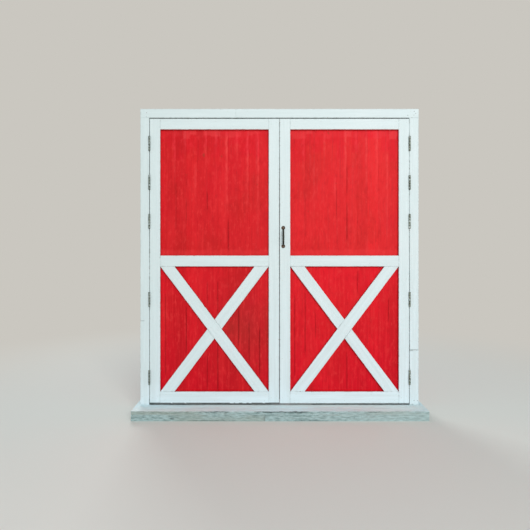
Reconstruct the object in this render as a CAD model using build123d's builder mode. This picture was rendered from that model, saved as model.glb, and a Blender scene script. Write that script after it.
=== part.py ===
from build123d import *
import os
from math import radians, sqrt, tan

# A pair of hinged barn doors hung in their own frame, in millimetres.
# X runs to the right seen from outside, Y runs into the building and Z runs up.
# The origin is the middle of the threshold's underside.

# Leaves
leaf_width = 924.0
leaf_height = 2032.0
face_thickness = 22.0
stile_width = 75.0
top_rail_height = 77.0
middle_rail_height = 78.0
middle_rail_centre = 1016.0
bottom_rail_height = 84.0
brace_width = 82.0
arris = 0.8

# Tongued and grooved boards
board_thickness = 20.0
board_pitch = 75.0
first_board_width = 32.0
seam_gap = 0.5
v_joint = 1.5
tongue_thickness = 6.0
tongue_length = 6.5
tongue_clearance = 0.3

# Gaps round the leaves
meeting_gap = 4.0
side_gap = 3.0
head_gap = 6.0
foot_gap = 10.0
stop_gap = 0.5

# Frame
casing_width = 64.0
casing_thickness = 18.0
head_joint_x = -312.0
right_joint_height = 379.0
jamb_thickness = 40.0
jamb_depth = 110.0
stop_thickness = 12.0
stop_depth = 40.0
fixing_radius = 4.5
fixing_count = 4
fixing_end = 154.0
fixing_edge = 22.0

# Threshold
tread_thickness = 23.0
tread_projection = 140.0
tread_end = 30.0
nosing_radius = 3.0
sub_sill_height = 45.0
sub_sill_joint_x = -103.0

# Butt hinges
hinge_height = 102.0
hinge_foot = 135.0
hinge_head = 127.0
hinge_steps = (0, 2, 4, 5, 6)
plate_thickness = 3.0
plate_reach = 36.0
mortise_clearance = 0.3
knuckle_radius = 6.5
knuckle_count = 5
knuckle_gap = 0.4
pin_standoff = 7.0
pin_radius = 3.0
pin_clearance = 0.05
pin_head_radius = 5.2
pin_head_height = 2.4

# Countersunk wood screws
screw_radius = 2.1
screw_head_radius = 4.2
screw_point = 5.0
screw_hole_clearance = 0.2
countersink_angle = 82.0
hinge_screw_length = 28.0
screw_front_row = 10.0
screw_back_row = 29.0
screw_rise = 13.0

# Pull handle
handle_height = 1187.0
handle_inset = 25.0
handle_centres = 131.0
handle_pad_radius = 13.5
handle_pad_thickness = 4.0
handle_projection = 36.0
handle_bar_width = 13.5
handle_bar_depth = 9.0
handle_root_width = 9.5
handle_root_depth = 8.0
handle_leg_inset = 9.0
handle_leg_slope = 10.0
handle_bend_radius = 14.0
handle_pad_chamfer = 1.2
handle_screw_centres = 137.0
handle_screw_length = 34.0

# Levels and planes worked out from the sizes above
leaf_thickness = face_thickness + board_thickness
sill_top = sub_sill_height + tread_thickness
leaf_bottom = sill_top + foot_gap
leaf_top = leaf_bottom + leaf_height
head_bottom = leaf_top + head_gap
opening_half = meeting_gap / 2 + leaf_width + side_gap
frame_depth = casing_thickness + jamb_depth
sill_depth = tread_projection + frame_depth
face_y = tread_projection - sill_depth / 2
board_y = face_y + face_thickness
leaf_back_y = face_y + leaf_thickness
wall_y = face_y + casing_thickness
frame_back_y = face_y + frame_depth
stop_y = leaf_back_y + stop_gap
pin_y = face_y - pin_standoff
pin_offset = opening_half - side_gap / 2
plate_back_y = face_y + plate_reach
casing_half = opening_half + casing_width
sill_half = casing_half + tread_end
fixing_pitch = (head_bottom - sill_top - 2 * fixing_end) / (fixing_count - 1)
knuckle_pitch = (hinge_height + knuckle_gap) / knuckle_count
hinge_pitch = (leaf_height - hinge_foot - hinge_height - hinge_head) / max(hinge_steps)
hinge_bottoms = [leaf_bottom + hinge_foot + hinge_pitch * step for step in hinge_steps]
leaf_face = Plane.XZ.offset(-board_y)
wall_face = Plane.XZ.offset(-wall_y)

os.makedirs("parts", exist_ok=True)


def save(part, label):
    """Label one finished piece and write it to its own file."""
    part.label = label
    export_step(part, f"parts/{label}.step")


def flat_board(plane, thickness, x_low, x_high, z_low, z_high):
    """Plant a length of planed timber on a plane, with its front edges eased."""
    with BuildSketch(plane) as outline:
        with Locations(((x_low + x_high) / 2, (z_low + z_high) / 2)):
            Rectangle(x_high - x_low, z_high - z_low)
    planted = extrude(outline.sketch, amount=thickness)
    chamfer(planted.faces().sort_by(Axis.Y)[0].edges(), arris)


def post(x_low, x_high, y_low, y_high, z_low, z_high):
    """Stand or lay a plain rectangular timber."""
    with BuildSketch(Plane.XY.offset(z_low)) as section:
        with Locations(((x_low + x_high) / 2, (y_low + y_high) / 2)):
            Rectangle(x_high - x_low, y_high - y_low)
    extrude(section.sketch, amount=z_high - z_low)


def cut_mortises(edge_x, into):
    """Let every hinge plate of one side into a timber's edge, flush with it."""
    for z_low in hinge_bottoms:
        with BuildSketch(Plane.XY.offset(z_low - mortise_clearance)) as recess:
            with Locations((edge_x + into * plate_thickness / 2, (pin_y + plate_back_y) / 2)):
                Rectangle(plate_thickness, plate_back_y - pin_y + 2 * mortise_clearance)
        extrude(recess.sketch, amount=hinge_height + 2 * mortise_clearance, mode=Mode.SUBTRACT)


def make_threshold():
    """A tread on two lengths of sub-sill that butt left of the middle."""
    with BuildPart() as tread:
        post(-sill_half, sill_half, -sill_depth / 2, sill_depth / 2, sub_sill_height, sill_top)
        top_edges = tread.faces().sort_by(Axis.Z)[-1].edges()
        fillet(top_edges.sort_by(Axis.Y)[0], nosing_radius)
    save(tread.part, "threshold_tread")

    with BuildPart() as sub_sill_left:
        post(-sill_half, sub_sill_joint_x, -sill_depth / 2, sill_depth / 2, 0, sub_sill_height)
        chamfer(sub_sill_left.faces().sort_by(Axis.Y)[0].edges(), arris)
    save(sub_sill_left.part, "sub_sill_left")

    with BuildPart() as sub_sill_right:
        post(sub_sill_joint_x, sill_half, -sill_depth / 2, sill_depth / 2, 0, sub_sill_height)
        chamfer(sub_sill_right.faces().sort_by(Axis.Y)[0].edges(), arris)
    save(sub_sill_right.part, "sub_sill_right")


def make_jamb(label, side):
    """A side post of the frame, with hinge mortises and a line of fixing holes."""
    inner_x = side * opening_half
    outer_x = side * (opening_half + jamb_thickness)
    with BuildPart() as jamb:
        post(min(inner_x, outer_x), max(inner_x, outer_x), wall_y, frame_back_y, sill_top, head_bottom)
        cut_mortises(inner_x, side)
        fixing_line = Plane(
            origin=(inner_x, frame_back_y - fixing_edge, (sill_top + head_bottom) / 2),
            x_dir=(0, 0, 1),
            z_dir=(-side, 0, 0),
        )
        with BuildSketch(fixing_line):
            with GridLocations(fixing_pitch, 1, fixing_count, 1):
                Circle(fixing_radius)
        extrude(amount=-jamb_thickness, mode=Mode.SUBTRACT)
    save(jamb.part, label)


def make_head_and_stops():
    """The head timber over both posts, and the three strips that the leaves shut against."""
    head_half = opening_half + jamb_thickness
    with BuildPart() as head_jamb:
        post(-head_half, head_half, wall_y, frame_back_y, head_bottom, head_bottom + jamb_thickness)
    save(head_jamb.part, "head_jamb")

    stop_top = head_bottom - stop_thickness
    with BuildPart() as head_stop:
        post(-opening_half, opening_half, stop_y, stop_y + stop_depth, stop_top, head_bottom)
    save(head_stop.part, "head_stop")

    stop_inner = opening_half - stop_thickness
    with BuildPart() as left_stop:
        post(-opening_half, -stop_inner, stop_y, stop_y + stop_depth, sill_top, stop_top)
    save(left_stop.part, "left_stop")

    with BuildPart() as right_stop:
        post(stop_inner, opening_half, stop_y, stop_y + stop_depth, sill_top, stop_top)
    save(right_stop.part, "right_stop")


def make_casings():
    """The white boards nailed round the opening, flush with the leaves' faces."""
    head_top = head_bottom + casing_width
    with BuildPart() as head_casing_left:
        flat_board(wall_face, casing_thickness, -casing_half, head_joint_x, head_bottom, head_top)
    save(head_casing_left.part, "head_casing_left")

    with BuildPart() as head_casing_right:
        flat_board(wall_face, casing_thickness, head_joint_x, casing_half, head_bottom, head_top)
    save(head_casing_right.part, "head_casing_right")

    with BuildPart() as left_casing:
        flat_board(wall_face, casing_thickness, -casing_half, -opening_half, sill_top, head_bottom)
        cut_mortises(-opening_half, -1)
    save(left_casing.part, "left_casing")

    joint_z = leaf_bottom + right_joint_height
    with BuildPart() as right_casing_lower:
        flat_board(wall_face, casing_thickness, opening_half, casing_half, sill_top, joint_z)
        cut_mortises(opening_half, 1)
    save(right_casing_lower.part, "right_casing_lower")

    with BuildPart() as right_casing_upper:
        flat_board(wall_face, casing_thickness, opening_half, casing_half, joint_z, head_bottom)
        cut_mortises(opening_half, 1)
    save(right_casing_upper.part, "right_casing_upper")


def screw_mouths(plate_face_x, outward, z_low):
    """The four staggered screw places of a hinge plate, facing out of their heads."""
    middle = z_low + hinge_height / 2
    rises = [-3 * screw_rise, -screw_rise, screw_rise, 3 * screw_rise]
    rows = [screw_back_row, screw_front_row, screw_back_row, screw_front_row]
    return [
        Plane(origin=(plate_face_x, face_y + row, middle + rise), x_dir=(0, 1, 0), z_dir=(-outward, 0, 0))
        for row, rise in zip(rows, rises)
    ]


def drill_screw_holes(mouths, depth):
    """Countersink a plate for its screws."""
    with Locations(*mouths):
        CounterSinkHole(
            radius=screw_radius + screw_hole_clearance,
            counter_sink_radius=screw_head_radius + screw_hole_clearance,
            depth=depth,
            counter_sink_angle=countersink_angle,
        )


def make_screws(label, mouths, length):
    """A group of like wood screws, their heads flush with the plate they hold."""
    head_depth = (screw_head_radius - screw_radius) / tan(radians(countersink_angle / 2))
    with BuildPart() as screw:
        with BuildSketch(Plane.XZ):
            with BuildLine():
                Polyline(
                    (0, 0),
                    (screw_head_radius, 0),
                    (screw_radius, -head_depth),
                    (screw_radius, screw_point - length),
                    (0, -length),
                    close=True,
                )
            make_face()
        revolve(axis=Axis.Z)
    with BuildPart() as screws:
        with Locations(*mouths):
            add(screw.part)
    save(screws.part, label)


def make_hinge_plate(label, pin_x, outward, z_low, own_knuckles, other_knuckles):
    """One plate of a butt hinge with its share of the knuckles round the pin."""
    plate_x = pin_x + outward * (side_gap + plate_thickness) / 2
    gap_face_x = pin_x + outward * side_gap / 2
    with BuildPart() as plate:
        with BuildSketch(Plane.XY.offset(z_low)):
            with Locations((plate_x, (pin_y + plate_back_y) / 2)):
                Rectangle(plate_thickness, plate_back_y - pin_y)
        extrude(amount=hinge_height)
        for knuckle in other_knuckles:
            with BuildSketch(Plane.XY.offset(z_low + knuckle * knuckle_pitch - knuckle_gap)):
                with Locations((pin_x, pin_y)):
                    Circle(knuckle_radius + knuckle_gap)
            extrude(amount=knuckle_pitch + knuckle_gap, mode=Mode.SUBTRACT)
        for knuckle in own_knuckles:
            with BuildSketch(Plane.XY.offset(z_low + knuckle * knuckle_pitch)):
                with Locations((pin_x, pin_y)):
                    Circle(knuckle_radius)
            extrude(amount=knuckle_pitch - knuckle_gap)
        with BuildSketch(Plane.XY.offset(z_low)):
            with Locations((pin_x, pin_y)):
                Circle(pin_radius + pin_clearance)
        extrude(amount=hinge_height, mode=Mode.SUBTRACT)
        drill_screw_holes(screw_mouths(gap_face_x, outward, z_low), plate_thickness)
    save(plate.part, label)


def make_hinges(side_name, side):
    """Five butt hinges down one side: frame plates, leaf plates and their pins."""
    pin_x = side * pin_offset
    frame_knuckles = range(0, knuckle_count, 2)
    leaf_knuckles = range(1, knuckle_count, 2)
    for number, z_low in enumerate(hinge_bottoms, start=1):
        frame_label = f"{side_name}_frame_hinge_plate_{number}"
        leaf_label = f"{side_name}_leaf_hinge_plate_{number}"
        make_hinge_plate(frame_label, pin_x, side, z_low, frame_knuckles, leaf_knuckles)
        make_hinge_plate(leaf_label, pin_x, -side, z_low, leaf_knuckles, frame_knuckles)

    with BuildPart() as pins:
        for z_low in hinge_bottoms:
            with BuildSketch(Plane.XY.offset(z_low)):
                with Locations((pin_x, pin_y)):
                    Circle(pin_radius)
            extrude(amount=hinge_height)
            with BuildSketch(Plane.XY.offset(z_low + hinge_height)):
                with Locations((pin_x, pin_y)):
                    Circle(pin_head_radius)
            extrude(amount=pin_head_height, taper=20)
    save(pins.part, f"{side_name}_hinge_pins")


def make_hinge_screws():
    """The screws of every hinge plate, one group for the frame and one for each leaf."""
    frame_mouths = []
    for side_name, side in (("left", -1), ("right", 1)):
        leaf_mouths = []
        for z_low in hinge_bottoms:
            frame_mouths += screw_mouths(side * opening_half, side, z_low)
            leaf_mouths += screw_mouths(side * (opening_half - side_gap), -side, z_low)
        make_screws(f"{side_name}_leaf_hinge_screws", leaf_mouths, hinge_screw_length)
    make_screws("frame_hinge_screws", frame_mouths, hinge_screw_length)


def make_board(x_low, x_high, grooved, tongued, hinge_edges):
    """One vertical board, tongued on its right edge and grooved on its left."""
    tongue_y = board_y + board_thickness / 2
    with BuildPart() as board:
        with BuildSketch(Plane.XY.offset(leaf_bottom)):
            with Locations(((x_low + x_high) / 2, tongue_y)):
                Rectangle(x_high - x_low, board_thickness)
            if tongued:
                with Locations((x_high + tongue_length / 2, tongue_y)):
                    Rectangle(tongue_length, tongue_thickness)
            if grooved:
                groove_depth = tongue_length - seam_gap + tongue_clearance
                with Locations((x_low + groove_depth / 2, tongue_y)):
                    Rectangle(groove_depth, tongue_thickness + 2 * tongue_clearance, mode=Mode.SUBTRACT)
        extrude(amount=leaf_height)
        front, back = board.faces().sort_by(Axis.Y)[0], board.faces().sort_by(Axis.Y)[-1]
        chamfer(front.edges().filter_by(Axis.Z) + back.edges().filter_by(Axis.Z), v_joint)
        for edge_x, into in hinge_edges:
            cut_mortises(edge_x, into)
    return board.part


def make_boards(label, leaf_left, hinge_edge_x, into):
    """The red boards of one leaf, the first and last ripped to fit its width."""
    leaf_right = leaf_left + leaf_width
    seams = [leaf_left + first_board_width]
    while seams[-1] + board_pitch < leaf_right:
        seams.append(seams[-1] + board_pitch)
    edges = [leaf_left] + seams + [leaf_right]
    last = len(edges) - 2
    with BuildPart() as boards:
        for index in range(last + 1):
            x_low = edges[index] + (seam_gap if index > 0 else 0)
            x_high = edges[index + 1]
            at_hinges = edges[index] == hinge_edge_x or edges[index + 1] == hinge_edge_x
            hinge_edges = [(hinge_edge_x, into)] if at_hinges else []
            add(make_board(x_low, x_high, index > 0, index < last, hinge_edges))
    save(boards.part, label)


def brace_outline(x_start, x_end, z_start, z_end):
    """Sketch a brace from corner to corner of a panel, its ends cut level on the rails."""
    width = abs(x_end - x_start)
    height = abs(z_end - z_start)
    diagonal = sqrt(width**2 + height**2 - brace_width**2)
    foot = brace_width * (height * diagonal - width * brace_width) / (height**2 - brace_width**2)
    step = foot if x_end > x_start else -foot
    with BuildSketch(leaf_face) as outline:
        with BuildLine():
            Polyline(
                (x_start, z_start),
                (x_start + step, z_start),
                (x_end, z_end),
                (x_end - step, z_end),
                close=True,
            )
        make_face()
    return outline.sketch


def make_braces(side_name, side, x_low, x_high, z_low, z_high):
    """A crossed pair: one brace in one length, the other halved against it."""
    hinge_x, meeting_x = (x_low, x_high) if side < 0 else (x_high, x_low)
    through_outline = brace_outline(hinge_x, meeting_x, z_high, z_low)
    cut_outline = brace_outline(hinge_x, meeting_x, z_low, z_high)
    with BuildPart() as through_brace:
        extrude(through_outline, amount=face_thickness)
        chamfer(through_brace.faces().sort_by(Axis.Y)[0].edges(), arris)
    save(through_brace.part, f"{side_name}_through_brace")

    with BuildPart() as cut_brace:
        extrude(cut_outline, amount=face_thickness)
        extrude(through_outline, amount=face_thickness, mode=Mode.SUBTRACT)
        fronts = cut_brace.faces().group_by(Axis.Y)[0]
        chamfer(fronts.edges(), arris)
    lower_half, upper_half = cut_brace.part.solids().sort_by(Axis.Z)
    save(lower_half, f"{side_name}_lower_half_brace")
    save(upper_half, f"{side_name}_upper_half_brace")


def make_leaf(side_name, side):
    """One door leaf: boards behind a face of stiles, rails and crossed braces."""
    leaf_left = -meeting_gap / 2 - leaf_width if side < 0 else meeting_gap / 2
    leaf_right = leaf_left + leaf_width
    hinge_edge_x = leaf_left if side < 0 else leaf_right
    make_boards(f"{side_name}_boards", leaf_left, hinge_edge_x, -side)

    panel_left = leaf_left + stile_width
    panel_right = leaf_right - stile_width
    with BuildPart() as left_stile:
        flat_board(leaf_face, face_thickness, leaf_left, panel_left, leaf_bottom, leaf_top)
        if side < 0:
            cut_mortises(hinge_edge_x, -side)
    with BuildPart() as right_stile:
        flat_board(leaf_face, face_thickness, panel_right, leaf_right, leaf_bottom, leaf_top)
        if side > 0:
            cut_mortises(hinge_edge_x, -side)
    hinge_stile, meeting_stile = (left_stile, right_stile) if side < 0 else (right_stile, left_stile)
    save(hinge_stile.part, f"{side_name}_hinge_stile")
    save(meeting_stile.part, f"{side_name}_meeting_stile")

    bottom_rail_top = leaf_bottom + bottom_rail_height
    middle_rail_low = leaf_bottom + middle_rail_centre - middle_rail_height / 2
    with BuildPart() as top_rail:
        flat_board(leaf_face, face_thickness, panel_left, panel_right, leaf_top - top_rail_height, leaf_top)
    save(top_rail.part, f"{side_name}_top_rail")

    with BuildPart() as middle_rail:
        middle_rail_top = middle_rail_low + middle_rail_height
        flat_board(leaf_face, face_thickness, panel_left, panel_right, middle_rail_low, middle_rail_top)
    save(middle_rail.part, f"{side_name}_middle_rail")

    with BuildPart() as bottom_rail:
        flat_board(leaf_face, face_thickness, panel_left, panel_right, leaf_bottom, bottom_rail_top)
    save(bottom_rail.part, f"{side_name}_bottom_rail")

    make_braces(side_name, side, panel_left, panel_right, bottom_rail_top, middle_rail_low)


def make_pull_handle():
    """A forged pull on the right leaf: two round pads joined by a bowed bar that thins to them."""
    handle_x = meeting_gap / 2 + handle_inset
    middle = leaf_bottom + handle_height
    pad_front = face_y - handle_pad_thickness
    root_y = face_y - handle_pad_thickness / 2
    leg = handle_centres / 2 - handle_leg_inset
    grip = leg - handle_leg_slope
    bar_y = face_y - handle_projection + handle_bar_depth / 2
    mouths = [
        Plane(origin=(handle_x, pad_front, middle + rise), x_dir=(1, 0, 0), z_dir=(0, -1, 0))
        for rise in (-handle_screw_centres / 2, handle_screw_centres / 2)
    ]
    with BuildPart() as pull_handle:
        with BuildSketch(Plane.XZ.offset(-face_y)):
            with Locations((handle_x, middle)):
                with GridLocations(1, handle_centres, 1, 2):
                    Circle(handle_pad_radius)
        extrude(amount=handle_pad_thickness)
        chamfer(pull_handle.faces().group_by(Axis.Y)[0].edges(), handle_pad_chamfer)
        with BuildLine(Plane.YZ.offset(handle_x)):
            route = FilletPolyline(
                (root_y, middle + leg),
                (bar_y, middle + grip),
                (bar_y, middle - grip),
                (root_y, middle - leg),
                radius=handle_bend_radius,
            )
        root = (handle_root_width, handle_root_depth)
        bar = (handle_bar_width, handle_bar_depth)
        for place, (width, depth) in ((0, root), (0.5, bar), (1, root)):
            with BuildSketch(Plane(origin=route @ place, x_dir=(1, 0, 0), z_dir=route % place)):
                Ellipse(width / 2, depth / 2)
        sweep(multisection=True)
        drill_screw_holes(mouths, handle_pad_thickness)
    save(pull_handle.part, "pull_handle")
    make_screws("handle_screws", mouths, handle_screw_length)


make_threshold()
make_jamb("left_jamb", -1)
make_jamb("right_jamb", 1)
make_head_and_stops()
make_casings()
make_leaf("left", -1)
make_leaf("right", 1)
make_hinges("left", -1)
make_hinges("right", 1)
make_hinge_screws()
make_pull_handle()
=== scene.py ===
import bpy
import numpy as np
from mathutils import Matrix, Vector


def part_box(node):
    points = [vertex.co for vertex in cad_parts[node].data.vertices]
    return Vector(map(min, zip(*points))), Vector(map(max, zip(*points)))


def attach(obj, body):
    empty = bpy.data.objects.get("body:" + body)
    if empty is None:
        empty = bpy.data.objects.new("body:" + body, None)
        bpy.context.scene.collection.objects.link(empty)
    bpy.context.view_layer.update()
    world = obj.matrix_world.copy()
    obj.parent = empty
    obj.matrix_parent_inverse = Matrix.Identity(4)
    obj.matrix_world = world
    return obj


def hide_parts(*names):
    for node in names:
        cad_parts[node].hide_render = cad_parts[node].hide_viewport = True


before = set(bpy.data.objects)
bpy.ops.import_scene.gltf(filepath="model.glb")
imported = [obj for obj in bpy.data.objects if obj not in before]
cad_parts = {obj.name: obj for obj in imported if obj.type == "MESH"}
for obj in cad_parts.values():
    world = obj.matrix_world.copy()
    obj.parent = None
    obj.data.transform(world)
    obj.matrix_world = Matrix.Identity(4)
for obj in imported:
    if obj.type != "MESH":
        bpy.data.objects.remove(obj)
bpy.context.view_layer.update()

# The camera stands square to the closed leaves, a little left of the meeting gap and at mid height,
# as the photograph was taken. The sensor is shifted, not tilted, so that uprights stay upright.
def new_object(name, data):
    """An object with this data, in the scene."""
    made = bpy.data.objects.new(name, data)
    bpy.context.scene.collection.objects.link(made)
    return made


photo_size_px = 530
focal_length_px = 490.5
vanishing_row_px = 249.0
viewing_distance = 3.5
left_of_gap = 0.1035
eye_height = 1.1796
leaf_face_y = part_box("left_hinge_stile")[0].y
camera_data = bpy.data.cameras.new("camera")
camera_data.lens = camera_data.sensor_width * focal_length_px / photo_size_px
camera_data.shift_y = (vanishing_row_px - photo_size_px / 2) / photo_size_px
camera = new_object("camera", camera_data)
camera.location = (-left_of_gap, leaf_face_y - viewing_distance, eye_height)
camera.rotation_euler = (np.pi / 2, 0.0, 0.0)
bpy.context.scene.camera = camera
bpy.context.scene.view_settings.view_transform = "Standard"


# The threshold: a softwood tread lies on two lengths of sub-sill that butt left of the middle. All three
# are rough, once painted and now weathered grey-green, with soft grain worn into ridges and a front edge
# that feet have chipped.
def ripple(distance, seed, lengths, height):
    """A slow irregular wave: a sine of each length, its phase drawn from the seed, added up and scaled
    so that the sum stays within plus or minus the height."""
    phases = np.random.default_rng(seed).uniform(0, 2 * np.pi, len(lengths))
    waves = [np.sin(2 * np.pi * distance / length + phase) for length, phase in zip(lengths, phases)]
    return height * sum(waves) / len(lengths)


def window(value, low, high, softness):
    """One between low and high, nothing outside, with a smooth step as long as the softness at each end."""
    rise = np.clip((value - low) / softness + 0.5, 0, 1)
    fall = np.clip((high - value) / softness + 0.5, 0, 1)
    return rise * rise * (3 - 2 * rise) * fall * fall * (3 - 2 * fall)


def closed_surface(name, stacks, body, slot, finish, **marks):
    """Skin stacks of closed rings into one object. Neighbouring points of neighbouring rings make a face,
    the first and last ring of a stack close its ends, and a stack whose faces point inwards, which is where
    the corner products about its middle add up to a negative volume, is turned over. Each mark is a number,
    a vector or a colour at every point, kept for the finish to read."""
    sharp_from = np.radians(34)
    points = []
    faces = []
    first = 0
    for rings in stacks:
        levels, around = rings.shape[:2]
        index = np.arange(levels * around).reshape(levels, around)
        after = np.roll(index, -1, axis=1)
        sides = np.stack([index[:-1], after[:-1], after[1:], index[1:]], axis=-1).reshape(-1, 4)
        flat = rings.reshape(-1, 3)
        a, b, c, d = (flat[sides[:, corner]] - flat.mean(0) for corner in range(4))
        volume = (np.cross(b, c) * a).sum() + (np.cross(c, d) * a).sum()
        turn = 1 if volume > 0 else -1
        faces += (sides[:, ::turn] + first).tolist()
        faces += [(index[0][::-turn] + first).tolist(), (index[-1][::turn] + first).tolist()]
        points.append(flat)
        first += levels * around
    mesh = bpy.data.meshes.new(name)
    mesh.from_pydata(np.concatenate(points).tolist(), [], faces)
    kinds = {(): ("FLOAT", "value"), (3,): ("FLOAT_VECTOR", "vector"), (4,): ("FLOAT_COLOR", "color")}
    for mark, values in marks.items():
        kind, field = kinds[values[0].shape[2:]]
        column = np.concatenate([value.reshape(-1) for value in values]).astype(np.float32)
        mesh.attributes.new(mark, kind, "POINT").data.foreach_set(field, column)
    mesh.shade_smooth()
    mesh.set_sharp_from_angle(angle=sharp_from)
    mesh.materials.append(finish)
    piece = new_object(name, mesh)
    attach(piece, body)
    return piece


def tint(red, green, blue):
    """A colour as it looks on a screen, 0 to 255, turned into the amounts of light that a node takes."""
    seen = np.array((red, green, blue)) / 255
    light = np.where(seen <= 0.04045, seen / 12.92, ((seen + 0.055) / 1.055) ** 2.4)
    return (*light.tolist(), 1.0)


def feed(node, inputs):
    """Set or link inputs of a node, each to a number or to what comes out of another node."""
    for socket, value in inputs.items():
        if isinstance(value, bpy.types.NodeSocket):
            value.id_data.links.new(value, node.inputs[socket])
        else:
            node.inputs[socket].default_value = value


def shader_node(kind, inputs, tree=None, **settings):
    """What comes out of a new node in the tree that is named, or else in the one that its inputs are from."""
    linked = [value for value in inputs.values() if isinstance(value, bpy.types.NodeSocket)]
    tree = tree or linked[0].id_data
    made = tree.nodes.new("ShaderNode" + kind)
    for setting, value in settings.items():
        setattr(made, setting, value)
    feed(made, inputs)
    return made.outputs


def axes(vector):
    return shader_node("SeparateXYZ", {0: vector})


def maths(operation, *values):
    return shader_node("Math", dict(enumerate(values)), operation=operation)[0]


def times(first, second):
    return maths("MULTIPLY", first, second)


def plus(first, second):
    return maths("ADD", first, second)


def band(value, low, high, to_low=0.0, to_high=1.0):
    """A smooth step from to_low, where the value is low, to to_high, where it is high."""
    ends = dict(enumerate((value, low, high, to_low, to_high)))
    return shader_node("MapRange", ends, interpolation_type="SMOOTHSTEP")["Result"]


def noise(vector, per_metre, detail=3):
    """Cloudy noise from 0 to 1, with about so many clouds to the metre along each axis."""
    stretched = shader_node("VectorMath", {0: vector, 1: per_metre}, operation="MULTIPLY")[0]
    return shader_node("TexNoise", {"Vector": stretched, "Scale": 1.0, "Detail": detail})["Fac"]


def mix(share, first, second, blend="MIX"):
    return shader_node("Mix", {0: share, 6: first, 7: second}, data_type="RGBA", blend_type=blend)[2]


def coats(colour, *layers):
    """The colour under layers of paint and dirt. A layer is its share, or a value and the numbers of the
    band that makes it a share, and last its own colour."""
    for value, *ends, coat in layers:
        colour = mix(band(value, *ends) if ends else value, colour, coat)
    return colour


class Finish:
    """A material, or the light all round, as it is built up from nodes."""

    def __init__(self, name, kind="materials"):
        self.made = getattr(bpy.data, kind).new(name)
        self.made.use_nodes = True
        self.tree = self.made.node_tree
        self.surface = self.tree.nodes.get("Principled BSDF")

    def source(self, kind, inputs=None, **settings):
        """What comes out of a new node here that is fed by numbers alone."""
        return shader_node(kind, inputs or {}, self.tree, **settings)

    def place(self):
        return self.source("TexCoord")["Object"]

    def mark(self, name, output="Fac"):
        return self.source("Attribute", attribute_name=name)[output]

    def done(self, colour, gloss, bumps, metallic=0.0):
        """The material in this colour. Gloss is a value from 0 to 1, the roughness where it is low and where
        it is high, and the specular level. Bumps are a height from 0 to 1 and their depth."""
        value, smoothest, roughest, specular = gloss
        height, depth = bumps
        normal = shader_node("Bump", {"Height": height, "Distance": depth})["Normal"]
        roughness = band(value, 0.3, 0.7, smoothest, roughest)
        feed(self.surface, {"Base Color": colour, "Metallic": metallic, "Roughness": roughness,
                            "Specular IOR Level": specular, "Normal": normal})
        return self.made


def weathered_timber():
    """Grey-green weathered paint over softwood: pale on top, partly as painted skylight, mottled on the edge,
    streaked along the grain, and darkened in the marked stretches, which on the tread's top under the leaves
    are painted shade."""
    finish = Finish("weathered_sill")
    grain = finish.mark("grain", "Vector")
    x = axes(finish.place())[0]
    dark = tint(114, 137, 136)
    streaks = noise(grain, (5, 130, 130), 5)
    fine = noise(grain, (30, 700, 700))
    flecks = noise(grain, (26, 120, 120), 4)
    soiling = noise(grain, (9, 34, 34), 5)
    drips = noise(grain, (150, 14, 14))
    clouds = noise(grain, (1.5, 5, 5))
    spots = noise(grain, (70, 150, 150), 2)
    edge = coats(
        dark,
        (flecks, 0.32, 0.64, 0.12, 1.0, tint(174, 199, 200)),
        (soiling, 0.5, 0.68, 0.0, 0.62, dark),
        (streaks, 0.43, 0.35, 0.0, 0.26, tint(88, 110, 110)),
        (spots, 0.66, 0.74, 0.0, 0.8, tint(70, 90, 88)),
        (clouds, 0.46, 0.64, 0.0, 0.5, tint(150, 156, 142)),
        (drips, 0.6, 0.7, 0.0, 0.4, dark),
        (streaks, 0.46, 0.72, 0.0, 0.42, tint(186, 203, 202)),
        (x, 0.1, 0.8, 0.0, 0.3, tint(184, 205, 206)),
    )
    # The top's pale colour is partly painted light, standing for skylight on the upward face.
    top = coats(
        tint(222, 248, 254),
        (clouds, 0.36, 0.64, tint(231, 244, 244)),
        (flecks, 0.42, 0.7, 0.0, 0.5, tint(236, 230, 224)),
        (streaks, 0.35, 0.7, 0.42, 0.0, tint(176, 190, 188)),
    )
    # Darkened where marked: on the tread's top under the leaves this is painted shade.
    grime_and_shade_share = times(finish.mark("grime"), band(streaks, 0.3, 0.62, 1.0, 0.7))
    colour = coats(edge, (finish.mark("top"), top), (grime_and_shade_share, tint(28, 42, 44)))
    height = plus(times(streaks, 0.7), times(fine, 0.3))
    return finish.done(colour, (fine, 0.62, 0.85, 0.25), (height, 0.0011))


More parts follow.
